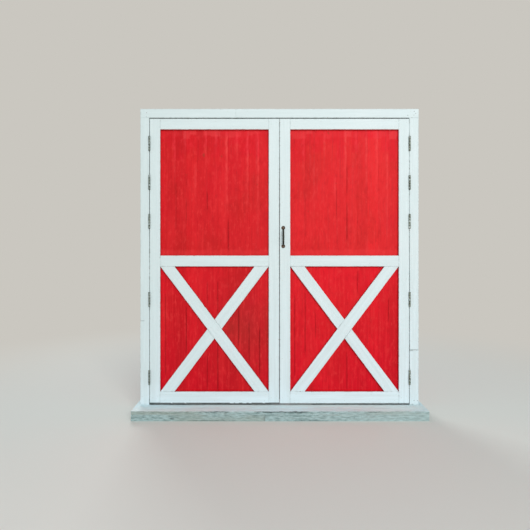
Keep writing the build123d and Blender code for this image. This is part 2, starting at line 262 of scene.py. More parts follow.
def sill_timber(node, finish, seed, front_points, top_points, nosing, grime, chips=()):
    """A rectangular timber whose ring runs up the front, round the nosing as a quarter circle, back over the
    top, and down and under to its start, carried along X. Weathering presses the front and top inwards by
    ridges, which are waves across the grain whose places wander with X, and by chips, which are bells on
    the front edge. Each darkened stretch is a share between two places along X and two distances up the
    ring, broken up; those on the tread's top under the leaves are painted shade."""
    low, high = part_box(node)
    row_pitch, ridge_depth, hollow_depth, longest_fade = 0.005, 0.0007, 0.0006, 0.05
    x = np.linspace(low.x, high.x, round((high.x - low.x) / row_pitch) + 1)[:, None]
    quarter = np.radians([15, 30, 45, 60, 75])
    under_y = np.linspace(high.y, low.y, 5)[:-1]
    y = np.concatenate([np.full(front_points, low.y), low.y + nosing * (1 - np.cos(quarter)),
                        np.linspace(low.y + nosing, high.y, top_points), under_y])
    z = np.concatenate([np.linspace(low.z, high.z - nosing, front_points),
                        high.z - nosing * (1 - np.sin(quarter)), np.full(top_points, high.z),
                        np.full(len(under_y), low.z)])
    tilt = np.concatenate([np.zeros(front_points), quarter, np.full(top_points, np.pi / 2)])
    outer = len(tilt)
    girth = np.concatenate([[0], np.cumsum(np.hypot(np.diff(y[:outer]), np.diff(z[:outer])))])
    nosing_girth = (high.z - low.z) - nosing + nosing * np.pi / 4
    wander = ripple(x, seed, (0.9, 0.37, 0.16), 0.004)
    ridges = 0.5 + ripple(girth + wander, seed + 1, (0.0071, 0.0113, 0.019), 0.5)
    press = ridge_depth * ridges + hollow_depth * (0.5 + ripple(x, seed + 2, (0.41, 0.13, 0.053), 0.5))
    press[:, [0, -1]] = 0
    for number, (centre, half_length, depth, reach) in enumerate(chips):
        jagged = 0.75 + ripple(x, seed + 10 + number, (0.031, 0.017, 0.011), 0.25)
        bell = np.exp(-((x - centre) / half_length) ** 4) * np.exp(-((girth - nosing_girth) / reach) ** 2)
        press = press + depth * jagged * bell
    dirt_and_shade = 0 * press
    for number, (start, end, height_low, height_high, share, breaks) in enumerate(grime):
        fade = min(longest_fade, (end - start) / 2)
        broken = 1 - breaks + ripple(x, seed + 40 + number, (0.083, 0.037, 0.019), breaks)
        along = window(x, start, end, fade) * broken
        wavering = girth + ripple(x, seed + 60 + number, (0.11, 0.047), 0.0025)
        dirt_and_shade = np.maximum(dirt_and_shade, share * along * window(wavering, height_low, height_high, 0.004))
    on_top = np.clip((girth - nosing_girth) / 0.002 + 0.6, 0, 1)
    none_under = ((0, 0), (0, len(under_y)))
    across, on_top, dirt_and_shade = (np.pad(mark + 0 * press, none_under) for mark in (girth, on_top, dirt_and_shade))
    rings = np.stack([part + 0 * across for part in (x, y, z)], axis=-1)
    rings[:, :outer, 1] += press * np.cos(tilt)
    rings[:, :outer, 2] -= press * np.sin(tilt)
    grain = np.stack([x + seed + 0 * across, across + 0.31 * seed, 0 * across], axis=-1)
    piece = closed_surface(node + "_weathered", [rings], "frame", "weathered_sill", finish,
                           grain=[grain], top=[on_top], grime=[dirt_and_shade])
    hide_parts(node)


sill_finish = weathered_timber()
tread_chips = [
    (-0.905, 0.02, 0.0022, 0.006), (-0.742, 0.055, 0.0034, 0.007), (-0.655, 0.012, 0.0026, 0.006),
    (-0.512, 0.03, 0.0022, 0.005), (-0.333, 0.016, 0.003, 0.006), (-0.172, 0.06, 0.003, 0.006),
    (-0.048, 0.045, 0.0036, 0.007), (0.058, 0.03, 0.0042, 0.009), (0.214, 0.014, 0.0024, 0.005),
    (0.395, 0.04, 0.002, 0.005), (0.56, 0.018, 0.0028, 0.006), (0.738, 0.034, 0.0022, 0.005),
    (0.905, 0.022, 0.0026, 0.006),
]
# Darkened stretches of the tread: the first seven run along its front edge, and the last three lie on its top
# under the leaves and are painted shade.
tread_grime = [
    (-0.56, -0.36, 0.0145, 0.0215, 1.1, 0.3), (-0.16, 0.18, 0.0145, 0.022, 1.3, 0.3),
    (0.06, 0.17, 0.009, 0.017, 1.00, 0.3), (0.26, 0.34, 0.0165, 0.0225, 0.7, 0.3),
    (0.6, 0.7, 0.015, 0.022, 0.9, 0.3), (-0.98, -0.62, 0.0175, 0.0225, 0.55, 0.3),
    (0.4, 0.98, 0.018, 0.0225, 0.45, 0.3), (-0.935, -0.05, 0.163, 0.215, 0.95, 0.05),
    (-0.08, 0.26, 0.164, 0.215, 0.6, 0.05), (0.22, 0.935, 0.163, 0.215, 0.9, 0.05),
]
sub_sill_grime = {
    "sub_sill_left": [(-0.752, -0.728, 0.012, 0.024, 1.0, 0.3), (-0.112, -0.101, 0.0, 0.045, 0.45, 0.3),
                      (-0.6, -0.3, 0.0, 0.006, 0.6, 0.3)],
    "sub_sill_right": [(-0.106, -0.099, 0.0, 0.045, 0.35, 0.3), (0.1, 0.34, 0.0, 0.007, 0.5, 0.3)],
}
sill_timber("threshold_tread", sill_finish, 3, front_points=10, top_points=92, nosing=0.003,
            grime=tread_grime, chips=tread_chips)
for node, seed in (("sub_sill_left", 5), ("sub_sill_right", 8)):
    sill_timber(node, sill_finish, seed, front_points=16, top_points=12, nosing=0.001,
                grime=sub_sill_grime[node])


# Jambs, head and stops: planed softwood framing let in behind the casings, brushed with the same cool
# white as the rest but less carefully. Uprights are brushed up and down, the head from end to end.
def brushed_white(name, grain_runs, duller=0.0):
    """White oil paint brushed along the grain: broad laps, fine bristle lines, clouds of thinner paint, a
    bluer cast low down, painted shade that darkens it towards the left, dirty joints and arrises, painted
    shade far into the gaps, bare wood where an arris is chipped, and red lapped over the sides that stand
    against the boards. Framing has no marks, so its grain follows an axis and its painted gap shade lies
    behind the leaves, inside the doorway."""
    finish = Finish(name)
    place = finish.place()
    x, y, z = axes(place)
    if grain_runs == "as marked":
        grain = finish.mark("grain", "Vector")
        deep = finish.mark("deep")
    else:
        turned = {0: z, 1: x, 2: y} if grain_runs == "up" else {0: x, 1: z, 2: y}
        grain = shader_node("CombineXYZ", turned)[0]
        half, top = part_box("right_jamb")[0].x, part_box("head_jamb")[0].z
        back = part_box("left_boards")[1].y
        from_middle = maths("MAXIMUM", maths("ABSOLUTE", x), plus(z, half - top))
        inside = band(from_middle, half + 0.002, half + 0.001)
        # Painted shade on the framing behind the leaves, inside the doorway, so that the gaps read dark.
        deep = times(band(y, back + 0.0015, back + 0.0005, 0.0, 0.9), inside)
    edge = finish.mark("edge")
    bristles = noise(grain, (7, 520, 520), 4)
    laps = noise(grain, (2.2, 46, 46))
    clouds = noise(place, (2.1, 2.1, 2.1), 4)
    blots = noise(place, (34, 34, 34), 4)
    # Painted shade: the white darkens towards the left, less so near the foot, as if the light fell brighter
    # from the right.
    painted_shade_to_left = times(band(x, 1.1, -1.3, 0.0, 0.5), band(z, 0.1, 0.3, 0.15, 1.0))
    colour = coats(
        tint(223, 237, 240),
        (clouds, 0.36, 0.64, tint(227, 239, 242)),
        (z, 1.3, -0.1, 0.0, 0.8, tint(229, 246, 254)),
        (painted_shade_to_left, tint(209, 226, 226)),
        (laps, 0.3, 0.7, 0.4, 0.0, tint(205, 220, 222)),
        (bristles, 0.35, 0.7, 0.2, 0.0, tint(190, 205, 206)),
        (plus(times(edge, band(blots, 0.42, 0.72, 0.06, 0.5)), duller), tint(128, 137, 132)),
        (plus(finish.mark("lap"), band(blots, 0.3, 0.7, -0.1, 0.1)), 0.22, 0.3, tint(186, 28, 36)),
        # Painted shade in the gaps, dark grey-green.
        (deep, tint(38, 54, 50)),
        (times(edge, band(noise(place, (95, 95, 95)), 0.66, 0.7)), tint(118, 103, 86)),
    )
    height = plus(times(bristles, 0.45), times(laps, 0.55))
    return finish.done(colour, (laps, 0.5, 0.66, 0.35), (height, 0.0006))


def coat_solids(finish, *nodes):
    """Solids that keep the shape of the CAD get their finish."""
    for node in nodes:
        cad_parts[node].data.materials[0] = finish


coat_solids(brushed_white("framing_paint_upright", "up", duller=0.06),
            "left_jamb", "right_jamb", "left_stop", "right_stop")
coat_solids(brushed_white("framing_paint_level", "along", duller=0.06), "head_jamb", "head_stop")


# Casings: flat boards nailed round the opening, the head board in two lengths over the side boards and
# the right-hand board pieced near its foot. Hinge plates are let into their inner edges.
plate_thickness, plate_room = 0.003, 0.0003
step = 0.00001


def hinge_notches(side):
    """The stretches of one side's timbers that the hinge plates are let into, with a little room."""
    plates = [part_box(f"{side}_leaf_hinge_plate_{number}") for number in range(1, 6)]
    return [(low.z - plate_room, high.z + plate_room) for low, high in plates]


def timber_corners(node, grain_axis):
    """The four corners of a timber's back face as pairs for its low and high end along the grain. A
    notched timber has more corners than four, so its box stands in for them."""
    low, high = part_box(node)
    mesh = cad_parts[node].data
    places = np.empty(len(mesh.vertices) * 3, np.float32)
    mesh.vertices.foreach_get("co", places)
    places = places.reshape(-1, 3)
    back = np.unique(np.round(places[places[:, 1] > high.y - 1e-4][:, [0, 2]], 4), axis=0)
    if len(back) != 4:
        back = np.array([(low.x, low.z), (high.x, low.z), (low.x, high.z), (high.x, high.z)])
    along = int(grain_axis == "z")
    back = back[np.argsort(back[:, along], kind="stable")]
    return [pair[np.argsort(pair[:, 1 - along])] for pair in (back[:2], back[2:])]


def plank(node, body, finish, seed, grain_axis="z", gap_side=None, red_sides=(), notches=(), dents=(),
          wander=0.0006, end_dirt=0.3, foot_shade_and_dirt=0.0, scores=(), nearer=()):
    """A planed board as a ring carried along its grain. The ring runs over the eased front arris, the front,
    the other arris, and round the back, and its width and place come from the two straight edges between the
    corners. The front edges wander inwards by a slow wave, less so along a gap, where the side carries
    painted shade and steps in by the plate's thickness at each notch. Dents are bells cut into one edge at a
    height, the red sides are those that the boards' paint is lapped over, the ends may be soiled at their
    joints, the foot may be darkened, as painted shade along a leaf's bottom gap and as a dirty joint on a
    pieced casing, and a score is a dirty saw cut at a height, from the low side as far as a share of the
    width. Pairs of a height and a distance say how far the gap side has warped towards what it faces."""
    low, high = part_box(node)
    (start_low, start_high), (end_low, end_high) = timber_corners(node, grain_axis)
    length = float(np.linalg.norm((end_low + end_high - start_low - start_high) / 2))
    foot = low.z if grain_axis == "z" else low.x
    ease, arris, row_pitch, gap_wander, paint_depth = 0.001, 0.0012, 0.009, 0.3, 0.00022
    score_fade, score_half, side_fade, end_fade = 0.0022, 0.0005, 0.0025, 0.003
    rows = round(length / row_pitch)
    stops = [0, length] + [ease + (length - 2 * ease) * row / rows for row in range(rows + 1)]
    stops += [v - foot for notch in notches for end in notch for v in (end - step, end + step)]
    stops += [height - foot + v for height, reach in scores for v in (-score_fade, 0.0, score_fade)]
    s = np.array(sorted({round(v, 6) for v in stops if 0 <= v <= length}))[:, None]
    edge_low = start_low + s / length * (end_low - start_low)
    edge_high = start_high + s / length * (end_high - start_high)
    width = np.linalg.norm(edge_high - edge_low, axis=1, keepdims=True)
    across = (edge_high - edge_low) / width

    turn = np.radians([0, 30, 60, 90])
    arris_in = arris * (1 - np.cos(turn))
    arris_back = arris * (1 - np.sin(turn))
    depth = high.y - low.y
    shares = np.array([0.09, 0.2, 0.35, 0.5, 0.65, 0.8, 0.91])
    share = np.concatenate([np.zeros(4), shares, np.ones(4), [1, 1, 0.67, 0.33, 0, 0]])
    inset = np.concatenate([arris_in, 0 * shares, -arris_in[::-1], np.zeros(6)])
    back = np.concatenate([arris_back, 0 * shares, arris_back[::-1],
                           [depth / 2, depth, depth, depth, depth, depth / 2]])
    front = np.concatenate([np.ones(15), [0.5, 0, 0, 0, 0, 0.5]])
    sides = {"low": share == 0, "high": share == 1, None: 0 * share}
    in_gap = sides[gap_side] * (-1 if gap_side == "high" else 1)

    loss = {"low": wander * (0.5 + ripple(s, seed, (0.73, 0.29, 0.11, 0.047), 0.5)),
            "high": wander * (0.5 + ripple(s, seed + 1, (0.61, 0.33, 0.13, 0.041), 0.5))}
    if gap_side:
        loss[gap_side] = loss[gap_side] * gap_wander
    for edge, height, half_length, bite in dents:
        place = length * (height - start_low[1]) / (end_low[1] - start_low[1])
        loss[edge] = loss[edge] + bite * np.exp(-((s - place) / half_length) ** 2)
    v = share * width + inset + front * ((1 - share) * loss["low"] - share * loss["high"])
    cut = sum((window(s + foot, bottom, top, step) for bottom, top in notches), 0 * s)
    v = v + in_gap * cut * plate_thickness
    if nearer:
        v = v - in_gap * (np.interp(s + foot, *zip(*nearer)) * (1 - cut))
    swell = ripple(s + 3 * v, seed + 2, (0.47, 0.19, 0.083), paint_depth)
    y = low.y + back + front * (paint_depth + swell)
    at_end = (s < ease / 2) | (s > length - ease / 2)
    y = np.where(at_end & (front == 1), np.maximum(y, low.y + ease), y)
    xz = edge_low[:, None, :] + v[:, :, None] * across[:, None, :]
    x, z = xz[:, :, 0], xz[:, :, 1]

    near_side = np.exp(-np.minimum(v, width - v) / side_fade)
    near_end = end_dirt * np.exp(-np.minimum(s, length - s) / end_fade)
    edge_mark = np.maximum(near_side, near_end) * (front > 0)
    darkest = 0.98 if grain_axis == "x" else 0.88
    # Painted shade down the sides that face a gap.
    deep = darkest * np.clip(back / 0.003 - 0.4, 0, 1) * np.abs(in_gap)
    # The foot: painted shade along a leaf's bottom gap, and a dirty joint at the foot of a pieced casing.
    deep = np.maximum(deep, foot_shade_and_dirt * (z < low.z + 0.0014))
    for height, reach in scores:
        deep = np.maximum(deep, 0.9 * ((np.abs(z - height) < score_half) & (share < reach) & (front == 1)))
    against = sum(sides[edge] for edge in red_sides)
    lap = np.clip(back / (depth / 2), 0, 1) * against + 0 * v
    grain = np.stack([s + 0 * v + 1.7 * seed, v + 0.43 * seed, y], axis=-1)
    piece = closed_surface(node + "_painted", [np.stack([x, y, z], axis=-1)], body, "white_paint", finish,
                           grain=[grain], edge=[edge_mark], deep=[deep], lap=[lap])
    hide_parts(node)


casing_paint = brushed_white("casing_paint", "as marked", duller=0.015)
plank("left_casing", "frame", casing_paint, 11, gap_side="high", notches=hinge_notches("left"),
      dents=[("low", 0.667, 0.004, 0.0016)], scores=[(0.667, 0.4)],
      nearer=[(0.5, 0.0), (0.9, 0.0003), (0.97, 0.0014), (1.08, 0.0009), (1.25, 0.0), (1.42, -0.0008),
              (1.95, -0.0008), (2.08, 0.0)])
plank("right_casing_lower", "frame", casing_paint, 12, gap_side="low", notches=hinge_notches("right"),
      end_dirt=1.6)
plank("right_casing_upper", "frame", casing_paint, 13, gap_side="low", notches=hinge_notches("right"),
      end_dirt=0.8, foot_shade_and_dirt=0.5,
      nearer=[(0.95, 0.0), (1.25, 0.0006), (1.5, 0.0013), (1.75, 0.0017), (2.1, 0.0021)])
plank("head_casing_left", "frame", casing_paint, 14, grain_axis="x", gap_side="low", end_dirt=0.7)
plank("head_casing_right", "frame", casing_paint, 15, grain_axis="x", gap_side="low")


# Leaf boards: thirteen tongued and grooved softwood boards to a leaf, brushed barn red. Paint has built
# up in beads along many joints and has cracked open along others, and it is brushed on more brightly
# along the top of each panel.
def smooth(value, low, high):
    """A smooth step from 0 at low to 1 at high."""
    t = np.clip((value - low) / (high - low), 0, 1)
    return t * t * (3 - 2 * t)


def blend(share, first, second):
    """The straight mix of two colours, all of the second where the share is one."""
    return (1 - share) * np.array(first) + share * np.array(second)


def board_rings(z, edges, front_y, back_y, tongued, grooved, cuts, opening, open_left, open_right,
                bead, seed):
    """One board: its ring goes over the front between the V joints, round the tongue, over the back and
    round the groove, and is carried up the board. The front is cupped as a shallow parabola, its left
    edge draws back where the joint is open, its right edge swells where paint has beaded, and elsewhere
    paint fills the V joints almost to the front. A side may be cut back over the hinge plates' stretches."""
    x_low, x_high = edges
    cut_low, cut_high = cuts
    joint = 0.0015
    middle = (front_y + back_y) / 2
    tongue, tongue_half = 0.0065, 0.003
    groove, groove_half = 0.0063, 0.0033
    paint_depth, filled_to, closed_by, cupping = 0.0002, 0.0008, 0.00044, 0.0004
    behind_plate = 0.0001
    shares = np.array([0.0, 0.05, 0.1, 0.17, 0.28, 0.42, 0.58, 0.72, 0.83, 0.89, 0.93, 0.97, 1.0])
    face = x_low + joint + shares * (x_high - x_low - 2 * joint)
    ring = [(x_low, front_y + joint)] + [(x, front_y) for x in face] + [(x_high, front_y + joint)]
    if cut_high:
        ring += [(x_high, cut_high[1]), (x_high, cut_high[1] + behind_plate)]
    if tongued:
        ring += [(x_high, middle - tongue_half), (x_high + tongue, middle - tongue_half),
                 (x_high + tongue, middle + tongue_half), (x_high, middle + tongue_half)]
    ring += [(x_high, back_y - joint), (x_high - joint, back_y),
             (x_low + joint, back_y), (x_low, back_y - joint)]
    if grooved:
        ring += [(x_low, middle + groove_half), (x_low + groove, middle + groove_half),
                 (x_low + groove, middle - groove_half), (x_low, middle - groove_half)]
    if cut_low:
        ring += [(x_low, cut_low[1] + behind_plate), (x_low, cut_low[1])]
    ring = np.array(ring)
    x = ring[:, 0] + 0 * z
    y = ring[:, 1] + 0 * z
    on_face = slice(1, 1 + len(face))
    t = (face - x_low) / (x_high - x_low)
    x[:, on_face] += opening * np.clip(1 - t / 0.06, 0, 1)
    x[:, 0:1] += opening
    cup = cupping * (2 * t - 1) ** 2
    swell = ripple(z + 5 * face, seed, (0.53, 0.21, 0.087), paint_depth)
    y[:, on_face] += cup + paint_depth + swell - bead * np.exp(-((t - 0.97) / 0.035) ** 2)
    x[:, 0:1] -= closed_by * (1 - open_left) * grooved
    filled = front_y + filled_to
    y[:, 0:1] = filled + (front_y + joint - filled) * open_left
    y[:, 1 + len(face):2 + len(face)] = filled + (front_y + joint - filled) * open_right
    for cut, edge_x, into in ((cut_low, x_low, 1), (cut_high, x_high, -1)):
        if cut:
            notches, reach = cut
            inside = sum(window(z, bottom, top, step) for bottom, top in notches)
            at_plate = (np.abs(ring[:, 0] - edge_x) < 1e-6) & (ring[:, 1] <= reach + 1e-6)
            x += into * plate_thickness * inside * at_plate
    return np.stack([x, y, z + 0 * x], axis=-1), t, on_face


def red_boards(side, seed, open_joints, beads, panel_colours, brown_blots, dark_tone):
    """All the boards of a leaf, with the marks that its paint reads: the colour at each point, the open joint
    beside it, the painted highlight along its bead, and the painted shade on the leaf's own sides. A joint
    goes by its distance from the leaf's left side in millimetres, with two heights between which it is open
    or beaded, and how far."""
    leaf_low, leaf_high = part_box(f"{side}_boards")
    leaf_width = leaf_high.x - leaf_low.x
    pitch, first_width, joint_gap, dark_board = 0.075, 0.032, 0.0005, 3
    least_gap, widest_joint, joint_fade, tone_range = 0.00005, 0.0026, 0.06, 0.062
    least_bead, most_bead, bead_fade = 0.00015, 0.0009, 0.16
    joints = np.arange(first_width, leaf_width - 0.001, pitch)
    edges = leaf_low.x + np.concatenate([[0], joints, [leaf_width]])
    notches = hinge_notches(side)
    plate_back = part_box(f"{side}_leaf_hinge_plate_1")[1].y + plate_room
    z = np.linspace(leaf_low.z, leaf_high.z, 190)
    extra = [v for pair in notches for edge in pair for v in (edge - step, edge + step)]
    z_cut = np.array(sorted({round(v, 6) for v in [*z, *extra]}))[:, None]
    tones = np.random.default_rng(seed).uniform(-1, 1, len(edges) - 1)
    tones[dark_board] = dark_tone
    rail_low, rail_high = (corner.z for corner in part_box(f"{side}_middle_rail"))
    panel_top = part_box(f"{side}_top_rail")[0].z
    upper_a, upper_b, lower_a, lower_b, upper_fall = panel_colours
    lower_fall = np.array((0.08, 0.5, 0.1, 0.0))
    boards = []
    for number in range(len(edges) - 1):
        last = number == len(edges) - 2
        at_hinge = number == 0 if side == "left" else last
        cut = (notches, plate_back) if at_hinge else None
        heights = z_cut if at_hinge else z[:, None]
        left_joint, right_joint = (round((edge - leaf_low.x) * 1000) for edge in edges[number:number + 2])
        gap = 0 * heights
        near_right = 0 * heights
        for joint, low, high, width in open_joints:
            stretch = window(heights, low, high, joint_fade)
            if joint == left_joint:
                uneven = 0.8 + ripple(heights, seed + joint, (0.09, 0.04), 0.2)
                gap = np.maximum(gap, width * (stretch * uneven))
            elif joint == right_joint:
                near_right = np.maximum(near_right, stretch * width / widest_joint)
        opening = least_gap * (0.5 + ripple(heights, seed + number, (0.31, 0.12, 0.05), 0.5))
        opening = np.maximum(opening, gap)
        crevice = np.maximum(0.01, gap / widest_joint)
        # Painted highlight where beads of paint along these joints catch the light.
        glint = 0 * heights
        for joint, low, high, share in beads:
            if joint == right_joint:
                rise = 0.35 + 0.65 * smooth(heights, low, high)
                glint = np.maximum(glint, share * window(heights, low, high, bead_fade) * rise)
        bead = np.maximum(least_bead, most_bead * glint)
        rings, t, on_face = board_rings(
            heights, (edges[number] + (joint_gap if number else 0), edges[number + 1]),
            leaf_low.y, leaf_high.y, not last, number > 0, (cut, None) if side == "left" else (None, cut),
            opening if number else 0 * heights, crevice, np.clip(near_right, 0.01, 1), bead, seed + number,
        )
        x, y, height = np.moveaxis(rings, -1, 0)
        across = smooth(x, leaf_low.x, leaf_high.x)[..., None]
        down = (1 - smooth(height, rail_high, panel_top))[..., None]
        upper = blend(across, upper_a, upper_b) * (1 - upper_fall * down)
        down = (1 - smooth(height, 0.15, rail_low))[..., None]
        lower = blend(across, lower_a, lower_b) * (1 - lower_fall * down)
        colour = blend(smooth(height, rail_low, rail_high)[..., None], lower, upper)
        colour = colour * (1 + tone_range * tones[number])
        for centre_x, centre_z, spread_x, spread_z, share in brown_blots:
            shade = share * np.exp(-((x - centre_x) / spread_x) ** 2 - ((height - centre_z) / spread_z) ** 2)
            colour = blend(shade[..., None], colour, tint(150, 44, 36))
        colour[..., 3] = 1
        beside = np.zeros(x.shape)
        beside[:, on_face] = crevice * np.exp(-t / 0.05) + near_right * np.exp(-(1 - t) / 0.03)
        shine = np.zeros(x.shape)
        drift = ripple(heights, seed + right_joint, (0.17, 0.071), 0.04)
        shine[:, on_face] = glint * np.exp(-((t - 0.88 + drift) / 0.13) ** 2)
        grain = np.stack([height + 2.3 * number + seed, x, y], axis=-1)
        # Painted shade on the leaf's own sides, where they face the hinge and meeting gaps.
        gap_shade_on_own_side = 0.85 * (np.minimum(x - leaf_low.x, leaf_high.x - x) < 0.0005)
        boards.append((rings, grain, colour, np.clip(beside, 0, 1), shine, gap_shade_on_own_side))
    # The ridges here are the painted highlights along the beads.
    stacks, grains, colours, crevices, ridges, gap_shade_on_own_sides = zip(*boards)
    piece = closed_surface(f"{side}_boards_painted", stacks, f"{side}_leaf", "red_boards", red_paint,
                           grain=grains, paint=colours, crevice=crevices, ridge=ridges, side=gap_shade_on_own_sides)
    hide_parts(f"{side}_boards")


def brushed_red(knots):
    """Barn red brushed up and down: the marked colour, pinker or browner in patches, with long soft streaks
    where it is thin or thick, darker where a joint has opened, a painted highlight on the beads, and strokes
    of random length cut in brightly below the top rail and fainter above the middle one. A knot is a dull
    spot where the distance to its place is small. The back is duller, and the leaf's own sides carry painted
    shade in dark grey-green for the gaps that they face."""
    finish = Finish("barn_red_paint")
    place = finish.place()
    x, y, z = axes(place)
    grain = finish.mark("grain", "Vector")
    wobble = noise(place, (120, 120, 120), 2)
    streaks = noise(grain, (2.6, 70, 70), 4)
    bristles = noise(grain, (9, 430, 430), 4)
    daubs = noise(grain, (26, 60, 60))
    patches = noise(place, (9, 9, 1.9), 4)
    smudges = noise(place, (42, 42, 19))
    hues = noise(place, (3.1, 7, 2.6))
    colour = finish.mark("paint", "Color")
    colour = mix(band(hues, 0.52, 0.66, 0.0, 0.75), colour, (1.0, 0.66, 1.0, 1.0), "MULTIPLY")
    colour = mix(band(hues, 0.48, 0.36, 0.0, 0.8), colour, (0.9, 1.0, 0.8, 1.0), "MULTIPLY")
    colour = coats(
        colour,
        (streaks, 0.51, 0.66, 0.0, 0.26, tint(240, 58, 60)),
        (streaks, 0.47, 0.32, 0.0, 0.25, tint(184, 14, 24)),
        (smudges, 0.53, 0.68, 0.0, 0.26, tint(242, 60, 62)),
        (smudges, 0.46, 0.32, 0.0, 0.22, tint(178, 14, 24)),
        (patches, 0.54, 0.7, 0.0, 0.24, tint(244, 48, 52)),
        (patches, 0.44, 0.3, 0.0, 0.19, tint(168, 20, 26)),
        (daubs, 0.58, 0.72, 0.0, 0.2, tint(246, 76, 72)),
        (bristles, 0.4, 0.7, 0.15, 0.0, tint(160, 10, 18)),
        # Painted highlight on the beads.
        (times(finish.mark("ridge"), band(daubs, 0.3, 0.6, 0.2, 0.6)), tint(246, 78, 78)),
    )
    rail_top, panel_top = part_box("left_middle_rail")[1].z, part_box("left_top_rail")[0].z
    back_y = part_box("left_boards")[1].y
    on_front = band(y, back_y - 0.004, back_y - 0.014)
    widths = plus(times(x, 19.0), times(wobble, 0.5))
    chance = shader_node("TexVoronoi", {"W": widths, "Scale": 1.0}, voronoi_dimensions="1D")["Color"]
    fall, coat, tail = axes(chance)
    ragged = plus(z, times(wobble, 0.012))
    strokes = band(plus(ragged, times(fall, 0.04)), panel_top - 0.029, panel_top - 0.013)
    strokes = times(strokes, band(coat, 0.3, 0.9, 0.07, 0.3))
    pinker = band(plus(z, times(tail, 0.2)), panel_top - 0.048, panel_top - 0.018, 0.0, 0.75)
    colour = mix(times(pinker, on_front), colour, (0.99, 0.6, 0.92, 1.0), "MULTIPLY")
    foot_strokes = band(plus(ragged, times(tail, 0.012)), rail_top + 0.063, rail_top + 0.039, 0.0, 0.24)
    foot_strokes = times(foot_strokes, band(z, rail_top - 0.023, rail_top - 0.013))
    nearest, squash = 9.0, 0.7
    squashed = shader_node("CombineXYZ", {0: x, 2: times(z, squash)})[0]
    for knot_x, knot_z, size, faintness in knots:
        centre = (knot_x, 0.0, squash * knot_z)
        away = shader_node("VectorMath", {0: squashed, 1: centre}, operation="DISTANCE")["Value"]
        nearest = maths("MINIMUM", nearest, plus(times(away, 1 / size), faintness))
    spots = plus(nearest, band(wobble, 0.3, 0.7, -0.35, 0.35))
    colour = coats(
        colour,
        (times(strokes, on_front), tint(246, 82, 84)),
        (times(foot_strokes, on_front), tint(242, 66, 68)),
        (times(finish.mark("crevice"), 0.78), tint(62, 10, 12)),
        (spots, 1.15, 0.35, 0.0, 0.46, tint(132, 60, 38)),
        (y, back_y - 0.001, back_y - 0.0002, 0.0, 0.6, tint(160, 52, 46)),
        # Painted shade, dark grey-green, on the leaf's own sides for the gaps they face.
        (finish.mark("side"), tint(58, 74, 70)),
    )
    height = plus(times(bristles, 0.4), times(streaks, 0.6))
    return finish.done(colour, (streaks, 0.5, 0.68, 0.12), (height, 0.0009))


knots = [
    (-0.544, 1.853, 0.013, 0.1), (-0.416, 1.847, 0.012, 0.5), (-0.67, 1.711, 0.009, 0.5),
    (-0.457, 1.561, 0.01, 0.6), (-0.419, 1.24, 0.009, 0.6), (-0.217, 1.296, 0.009, 0.6),
    (-0.158, 1.642, 0.009, 0.6), (-0.145, 0.919, 0.009, 0.5), (-0.163, 0.355, 0.01, 0.4),
    (0.404, 1.654, 0.011, 0.5), (0.526, 1.769, 0.009, 0.5), (0.286, 1.682, 0.009, 0.6),
    (0.513, 1.608, 0.009, 0.6), (0.205, 1.449, 0.009, 0.6), (0.292, 1.508, 0.009, 0.6),
    (0.675, 1.545, 0.009, 0.6), (0.351, 2.012, 0.009, 0.2),
]
red_paint = brushed_red(knots)
left_open = [
    (107, 0.27, 0.84, 0.0013), (182, 1.33, 1.65, 0.0009), (257, 0.44, 0.76, 0.0018),
    (257, 1.365, 1.54, 0.0011), (257, 1.63, 1.68, 0.0009), (407, 0.16, 0.41, 0.0014),
    (407, 0.77, 0.94, 0.0013), (407, 1.465, 1.583, 0.0015), (482, 0.16, 0.51, 0.0018),
    (482, 0.71, 0.95, 0.0016), (557, 1.17, 1.38, 0.002), (557, 1.745, 1.765, 0.0012),
    (632, 0.5, 0.745, 0.002), (707, 0.38, 0.66, 0.0016), (782, 0.282, 0.6, 0.0022),
]
left_beads = [
    (182, 1.68, 2.02, 0.7), (257, 1.86, 2.02, 0.6), (332, 1.58, 1.77, 0.8), (407, 1.8, 2.02, 0.9),
    (482, 1.62, 1.76, 0.5), (482, 1.86, 2.02, 0.7), (557, 1.5, 2.02, 1.0), (632, 1.8, 2.02, 0.8),
    (707, 1.5, 2.02, 0.9), (782, 1.25, 2.02, 0.7),
]
right_open = [
    (107, 0.27, 0.84, 0.0015), (182, 0.423, 0.87, 0.0016), (182, 1.253, 1.589, 0.0005),
    (257, 0.555, 0.72, 0.0011), (407, 1.42, 1.62, 0.0009), (482, 0.18, 0.43, 0.0014),
    (482, 1.25, 1.5, 0.0018), (482, 1.58, 1.77, 0.0016), (557, 0.856, 1.01, 0.0012),
    (557, 1.36, 1.4, 0.0009), (782, 0.67, 0.82, 0.0014),
]
right_beads = [
    (182, 1.72, 2.0, 0.6), (257, 1.38, 1.82, 0.4), (332, 1.82, 2.02, 0.6), (407, 1.55, 1.66, 0.9),
    (482, 1.67, 2.02, 0.9), (557, 1.86, 2.02, 0.8), (632, 1.63, 2.02, 0.7), (707, 1.55, 2.02, 0.8),
    (782, 1.25, 1.88, 0.7),
]
left_colours = (tint(217, 26, 34), tint(220, 28, 36), tint(218, 18, 33), tint(216, 22, 35), 0.06)
right_colours = (tint(228, 32, 39), tint(233, 37, 43), tint(232, 25, 38), tint(228, 21, 37), 0.025)
left_blots = [
    (-0.25, 0.62, 0.15, 0.27, 0.5), (-0.36, 0.61, 0.05, 0.07, 0.4), (-0.085, 0.64, 0.025, 0.22, 0.35),
]
red_boards("left", 41, left_open, left_beads, left_colours, left_blots, -1.1)
red_boards("right", 67, right_open, right_beads, right_colours, [], -0.5)


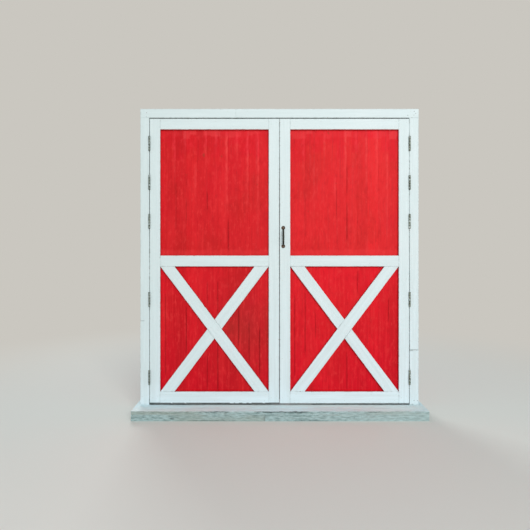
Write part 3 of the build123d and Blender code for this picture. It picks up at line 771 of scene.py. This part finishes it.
# Leaf faces: stiles, rails and crossed braces of planed softwood, nailed over the boards and painted
# white. Each leaf has one brace in one length, and the other is cut in two against it.
leaf_paint = brushed_white("leaf_face_paint", "as marked")
meeting_warp = [(1.45, -0.0001), (1.65, 0.0003), (1.85, 0.0007), (2.1, 0.0011)]
rails = [("top_rail", "high", ("low",)), ("middle_rail", None, ("low", "high")),
         ("bottom_rail", "low", ("high",))]
left_kinks = [("high", 0.772, 0.01, 0.003), ("high", 0.447, 0.008, 0.0035)]
for side, hinge_edge, meeting_edge, seed, foot_shade_and_dirt, kinks in (
        ("left", "low", "high", 20, 0.95, left_kinks), ("right", "high", "low", 32, 0.05, [])):
    leaf = f"{side}_leaf"
    plank(f"{side}_hinge_stile", leaf, leaf_paint, seed, gap_side=hinge_edge, red_sides=(meeting_edge,),
          notches=hinge_notches(side), foot_shade_and_dirt=foot_shade_and_dirt)
    plank(f"{side}_meeting_stile", leaf, leaf_paint, seed + 1, gap_side=meeting_edge, red_sides=(hinge_edge,),
          foot_shade_and_dirt=foot_shade_and_dirt, nearer=meeting_warp)
    for number, (rail, gap_edge, red_edges) in enumerate(rails):
        plank(f"{side}_{rail}", leaf, leaf_paint, seed + 2 + number, grain_axis="x", gap_side=gap_edge,
              red_sides=red_edges, wander=0.001, foot_shade_and_dirt=foot_shade_and_dirt if rail == "bottom_rail" else 0.0)
    for number, brace in enumerate(("through_brace", "lower_half_brace", "upper_half_brace")):
        plank(f"{side}_{brace}", leaf, leaf_paint, seed + 5 + number, red_sides=("low", "high"),
              dents=kinks if brace == "through_brace" else (), wander=0.002, end_dirt=0.8)


# Hinges: steel butt hinges, their knuckles standing proud of the gap. The steel has gone a dull grey
# olive, and the painters' brush has caught it here and there.
def hinge_steel(name, foot, knuckle):
    """Dull grey-olive steel, darker in patches and where dirt sits in the joints between knuckles, which
    come at every knuckle's length above the foot, with strokes of the white paint left on it, and cooler
    to the left."""
    finish = Finish(name)
    place = finish.place()
    x, _, z = axes(place)
    patches = noise(place, (90, 90, 74), 4)
    grit = noise(place, (900, 900, 900), 2)
    strokes = noise(place, (110, 110, 60))
    knuckles_up = maths("DIVIDE", maths("SUBTRACT", z, foot), knuckle)
    colour = coats(
        tint(84, 93, 84),
        (patches, 0.4, 0.6, tint(146, 154, 138)),
        (grit, 0.4, 0.7, 0.0, 0.14, tint(96, 84, 66)),
        (strokes, 0.55, 0.6, 0.0, 0.85, tint(206, 218, 217)),
        (x, 0.5, -0.5, 0.0, 0.3, tint(96, 116, 120)),
        (maths("PINGPONG", knuckles_up, 0.5), 0.24, 0.04, 0.0, 0.8, tint(46, 52, 44)),
    )
    return finish.done(colour, (patches, 0.42, 0.62, 0.4), (grit, 0.0002), metallic=0.25)


knuckles = 5
for number in range(1, 6):
    hinge_foot, hinge_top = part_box(f"left_leaf_hinge_plate_{number}")
    knuckle = (hinge_top.z - hinge_foot.z) / knuckles
    hinge_finish = hinge_steel(f"hinge_steel_{number}", hinge_foot.z, knuckle)
    coat_solids(hinge_finish, *(f"{side}_{part}_hinge_plate_{number}" for side in ("left", "right")
                                for part in ("frame", "leaf")))
coat_solids(hinge_finish, "left_hinge_pins", "right_hinge_pins")


# Wood screws: countersunk steel screws in the hinge plates, gone dull, and in the pads of the pull,
# where they have browned with the iron.
def screw_steel(name, clean, rusty):
    """Brushed steel gone dull, with rust in the roughest patches."""
    finish = Finish(name)
    patches = noise(finish.place(), (160, 160, 160))
    colour = coats(clean, (patches, 0.45, 0.7, rusty))
    return finish.done(colour, (patches, 0.34, 0.6, 0.5), (patches, 0.0002), metallic=0.85)


coat_solids(screw_steel("screw_steel", tint(150, 148, 140), tint(104, 84, 66)),
            "frame_hinge_screws", "left_leaf_hinge_screws", "right_leaf_hinge_screws")
coat_solids(screw_steel("handle_screw_steel", tint(104, 94, 84), tint(66, 48, 34)), "handle_screws")


# Pull handle: two round pads and a bowed bar, forged in one piece and screwed to the right meeting
# stile. The iron is near black on the bar and worn to brown on the pads.
def forged_iron():
    """Hammered dark iron: shallow flats from rounded cells, and browner towards both pads."""
    finish = Finish("handle_iron")
    place = finish.place()
    z = axes(place)[2]
    low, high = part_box("pull_handle")
    away = maths("ABSOLUTE", maths("SUBTRACT", z, (low.z + high.z) / 2))
    patches = noise(place, (120, 120, 70), 4)
    cells = shader_node("TexVoronoi", {"Vector": place, "Scale": 190.0}, feature="SMOOTH_F1")["Distance"]
    pads = times(band(away, 0.052, 0.062), band(patches, 0.34, 0.56, 0.35, 0.9))
    colour = coats(tint(26, 27, 23), (patches, 0.38, 0.66, tint(56, 58, 50)), (pads, tint(88, 64, 48)))
    return finish.done(colour, (patches, 0.46, 0.62, 0.3), (cells, 0.0007), metallic=0.25)


coat_solids(forged_iron(), "pull_handle")


# Nails: wire nails driven flush through casings, stiles, rails and braces and painted over, so that each
# shows as a low round cap. A few at the corners of the frame have rusted through the paint.
def caps(name, centres, radius, rise, body, finish):
    """Low round caps on a face: each is rings of points round its centre, all computed at once, whose height
    falls about as one minus the fourth power of their reach, with a skirt let into the painted face."""
    deepest_paint, around = 0.0004, 14
    front_y = leaf_face_y + deepest_paint
    spokes = np.linspace(0, 2 * np.pi, around, endpoint=False)
    reach = np.array([1.0, 1.0, 0.86, 0.6, 0.3])[:, None]
    proud = np.array([-0.4, 0.0, 0.45, 0.8, 1.0])[:, None]
    x, z = np.array(centres).T[:, :, None, None]
    ring_x = x + radius * reach * np.cos(spokes)
    ring_z = z + radius * reach * np.sin(spokes)
    rings = np.stack([ring_x, front_y - rise * proud + 0 * ring_x, ring_z], axis=-1)
    closed_surface(name, rings, body, "white_paint", finish)


def nail_pairs(node, grain_axis, from_end, from_edge, further, pairs=None):
    """The places of nails in pairs at even steps along a timber: one near its low edge, and one near its
    high edge a little further on. Unless told, the pairs come about every 0.3 m."""
    low, high = ((corner.x, corner.z)[::1 if grain_axis == "x" else -1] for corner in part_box(node))
    spacing = 0.3
    pairs = pairs or max(2, round((high[0] - low[0]) / spacing))
    places = []
    for along in np.linspace(low[0] + from_end, high[0] - from_end, pairs):
        places += [(along, low[1] + from_edge), (along + further, high[1] - from_edge)]
    return places if grain_axis == "x" else [place[::-1] for place in places]


def nail_paint(name, core, rim):
    """Paint over a nail head, with a little rust bleeding through it."""
    finish = Finish(name)
    blots = noise(finish.place(), (230, 230, 230))
    return finish.done(coats(core, (blots, 0.35, 0.65, rim)), (blots, 0.45, 0.65, 0.35), (blots, 0.0002))


painted_nail = nail_paint("painted_nail_heads", tint(203, 216, 215), tint(214, 227, 226))
rusted_nail = nail_paint("rusted_nail_heads", tint(132, 142, 142), tint(180, 190, 190))
cap_radius, cap_rise = 0.0034, 0.0005
off_middle = 0.016
brace_nails = {
    "through_brace": (0.07, 0.2, 0.34, 0.48, 0.52, 0.66, 0.8, 0.93),
    "lower_half_brace": (0.12, 0.4, 0.68, 0.93),
    "upper_half_brace": (0.07, 0.32, 0.6, 0.88),
}
for side in ("left", "right"):
    centres = []
    for stile in ("hinge_stile", "meeting_stile"):
        centres += nail_pairs(f"{side}_{stile}", "z", 0.04, 0.018, 0.012, 8)
    for rail in ("top_rail", "middle_rail", "bottom_rail"):
        centres += nail_pairs(f"{side}_{rail}", "x", 0.03, 0.02, 0.011, 5)
    for brace, shares in brace_nails.items():
        (start_low, start_high), (end_low, end_high) = timber_corners(f"{side}_{brace}", "z")
        start = (start_low + start_high) / 2
        run = (end_low + end_high) / 2 - start
        sideways = np.array([run[1], -run[0]]) / np.linalg.norm(run)
        for number, share in enumerate(shares):
            aside = off_middle if number % 2 else -off_middle
            centres.append(tuple(start + share * run + sideways * aside))
    caps(f"{side}_leaf_nail_heads", centres, cap_radius, cap_rise, f"{side}_leaf", painted_nail)

centres = []
for node in ("left_casing", "right_casing_lower", "right_casing_upper"):
    centres += nail_pairs(node, "z", 0.06, 0.017, 0.01)
for node in ("head_casing_left", "head_casing_right"):
    centres += nail_pairs(node, "x", 0.07, 0.017, 0.012)
caps("casing_nail_heads", centres, cap_radius, cap_rise, "frame", painted_nail)
rusted = [(-0.948, 2.152), (-0.951, 2.123), (0.961, 2.162), (0.972, 2.148), (0.959, 2.135), (0.915, 2.134),
          (0.96, 0.099), (0.984, 0.097)]
caps("rusted_nail_heads", rusted, 0.0036, 0.0006, "frame", rusted_nail)


# The setting, which isn't part of the doors: a pale floor that fades into an even background, a sheet of
# painted shade behind the doorway, dark where the leaves close over it and clear where they stand open, a
# softbox before the doors and one behind them, and an even, slightly cool light from all round.
background = tint(202, 199, 192)


def quad(name, corners, finish, colour, share, other):
    """A flat matt stage surface from its four corners, which gives way by a share to another shader."""
    feed(finish.surface, {"Base Color": colour, "Roughness": 0.9, "Specular IOR Level": 0.1})
    shown = shader_node("MixShader", {0: share, 1: finish.surface.outputs[0], 2: other})[0]
    feed(finish.tree.nodes["Material Output"], {"Surface": shown})
    mesh = bpy.data.meshes.new(name)
    mesh.from_pydata(corners, [], [(0, 1, 2, 3)])
    mesh.materials.append(finish.made)
    new_object(name, mesh)


floor_paint = Finish("stage_floor")
from_doors = shader_node("VectorMath", {0: floor_paint.place()}, operation="LENGTH")["Value"]
glow = floor_paint.source("Emission", {"Color": background})[0]
far, fades_from, fades_to = 30.0, 1.6, 4.5
floor_corners = [(-far, -far, 0), (far, -far, 0), (far, far, 0), (-far, far, 0)]
quad("floor", floor_corners, floor_paint, tint(224, 224, 217), band(from_doors, fades_from, fades_to), glow)

shade_sheet_paint = Finish("stage_shade_sheet")
openness = shade_sheet_paint.source("AmbientOcclusion", {"Distance": 0.3})["AO"]
unseen = maths("SUBTRACT", 1.0, shade_sheet_paint.source("LightPath")["Is Camera Ray"])
unseen = maths("MAXIMUM", shade_sheet_paint.source("NewGeometry")["Backfacing"], unseen)
clear = maths("MAXIMUM", unseen, band(openness, 0.14, 0.34))
sheet_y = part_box("left_jamb")[1].y + 0.002
margin = 0.01
half = -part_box("left_jamb")[0].x - margin
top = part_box("head_jamb")[1].z - margin
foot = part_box("threshold_tread")[1].z + 0.001
sheet_corners = [(x, sheet_y, z) for x, z in ((-half, foot), (half, foot), (half, top), (-half, top))]
see_through = shade_sheet_paint.source("BsdfTransparent")[0]
# The sheet's dark colour is painted shade, seen through the gaps while the leaves are closed.
quad("doorway_shade_sheet", sheet_corners, shade_sheet_paint, tint(58, 72, 69), clear, see_through)

even_light = Finish("even_light", "worlds")
bpy.context.scene.world = even_light.made
all_round = even_light.tree.nodes["Background"]
feed(all_round, {"Color": (0.92, 1.0, 1.08, 1.0), "Strength": 0.42})
seen = even_light.source("Background", {"Color": background})[0]
ray = even_light.source("LightPath")
direct = maths("MAXIMUM", ray["Is Camera Ray"], ray["Is Glossy Ray"])
direct = maths("MAXIMUM", direct, ray["Is Transmission Ray"])
either = shader_node("MixShader", {0: direct, 1: all_round.outputs[0], 2: seen})[0]
feed(even_light.tree.nodes["World Output"], {"Surface": either})


def softbox(name, place, aim, size, power, colour):
    """A square lamp, not seen itself, whose own downward axis is turned to the point that it is aimed at:
    tipped by the angle between down and that direction, then swung round to its bearing."""
    data = bpy.data.lights.new(name, "AREA")
    data.size = size
    data.energy = power
    data.color = colour
    lamp = new_object(name, data)
    lamp.location = place
    x, y, z = np.array(aim) - np.array(place)
    lamp.rotation_euler = (np.arctan2(np.hypot(x, y), -z), 0.0, np.arctan2(y, x) - np.pi / 2)
    lamp.visible_camera = False


softbox("softbox", (2.2, -9.5, 4.8), (0.0, 0.0, 1.1), 5.0, 674.0, (1.0, 0.985, 0.955))
softbox("rear_softbox", (-3.4, 8.8, 5.2), (0.0, 0.0, 1.0), 4.6, 420.0, (1.0, 1.0, 1.0))
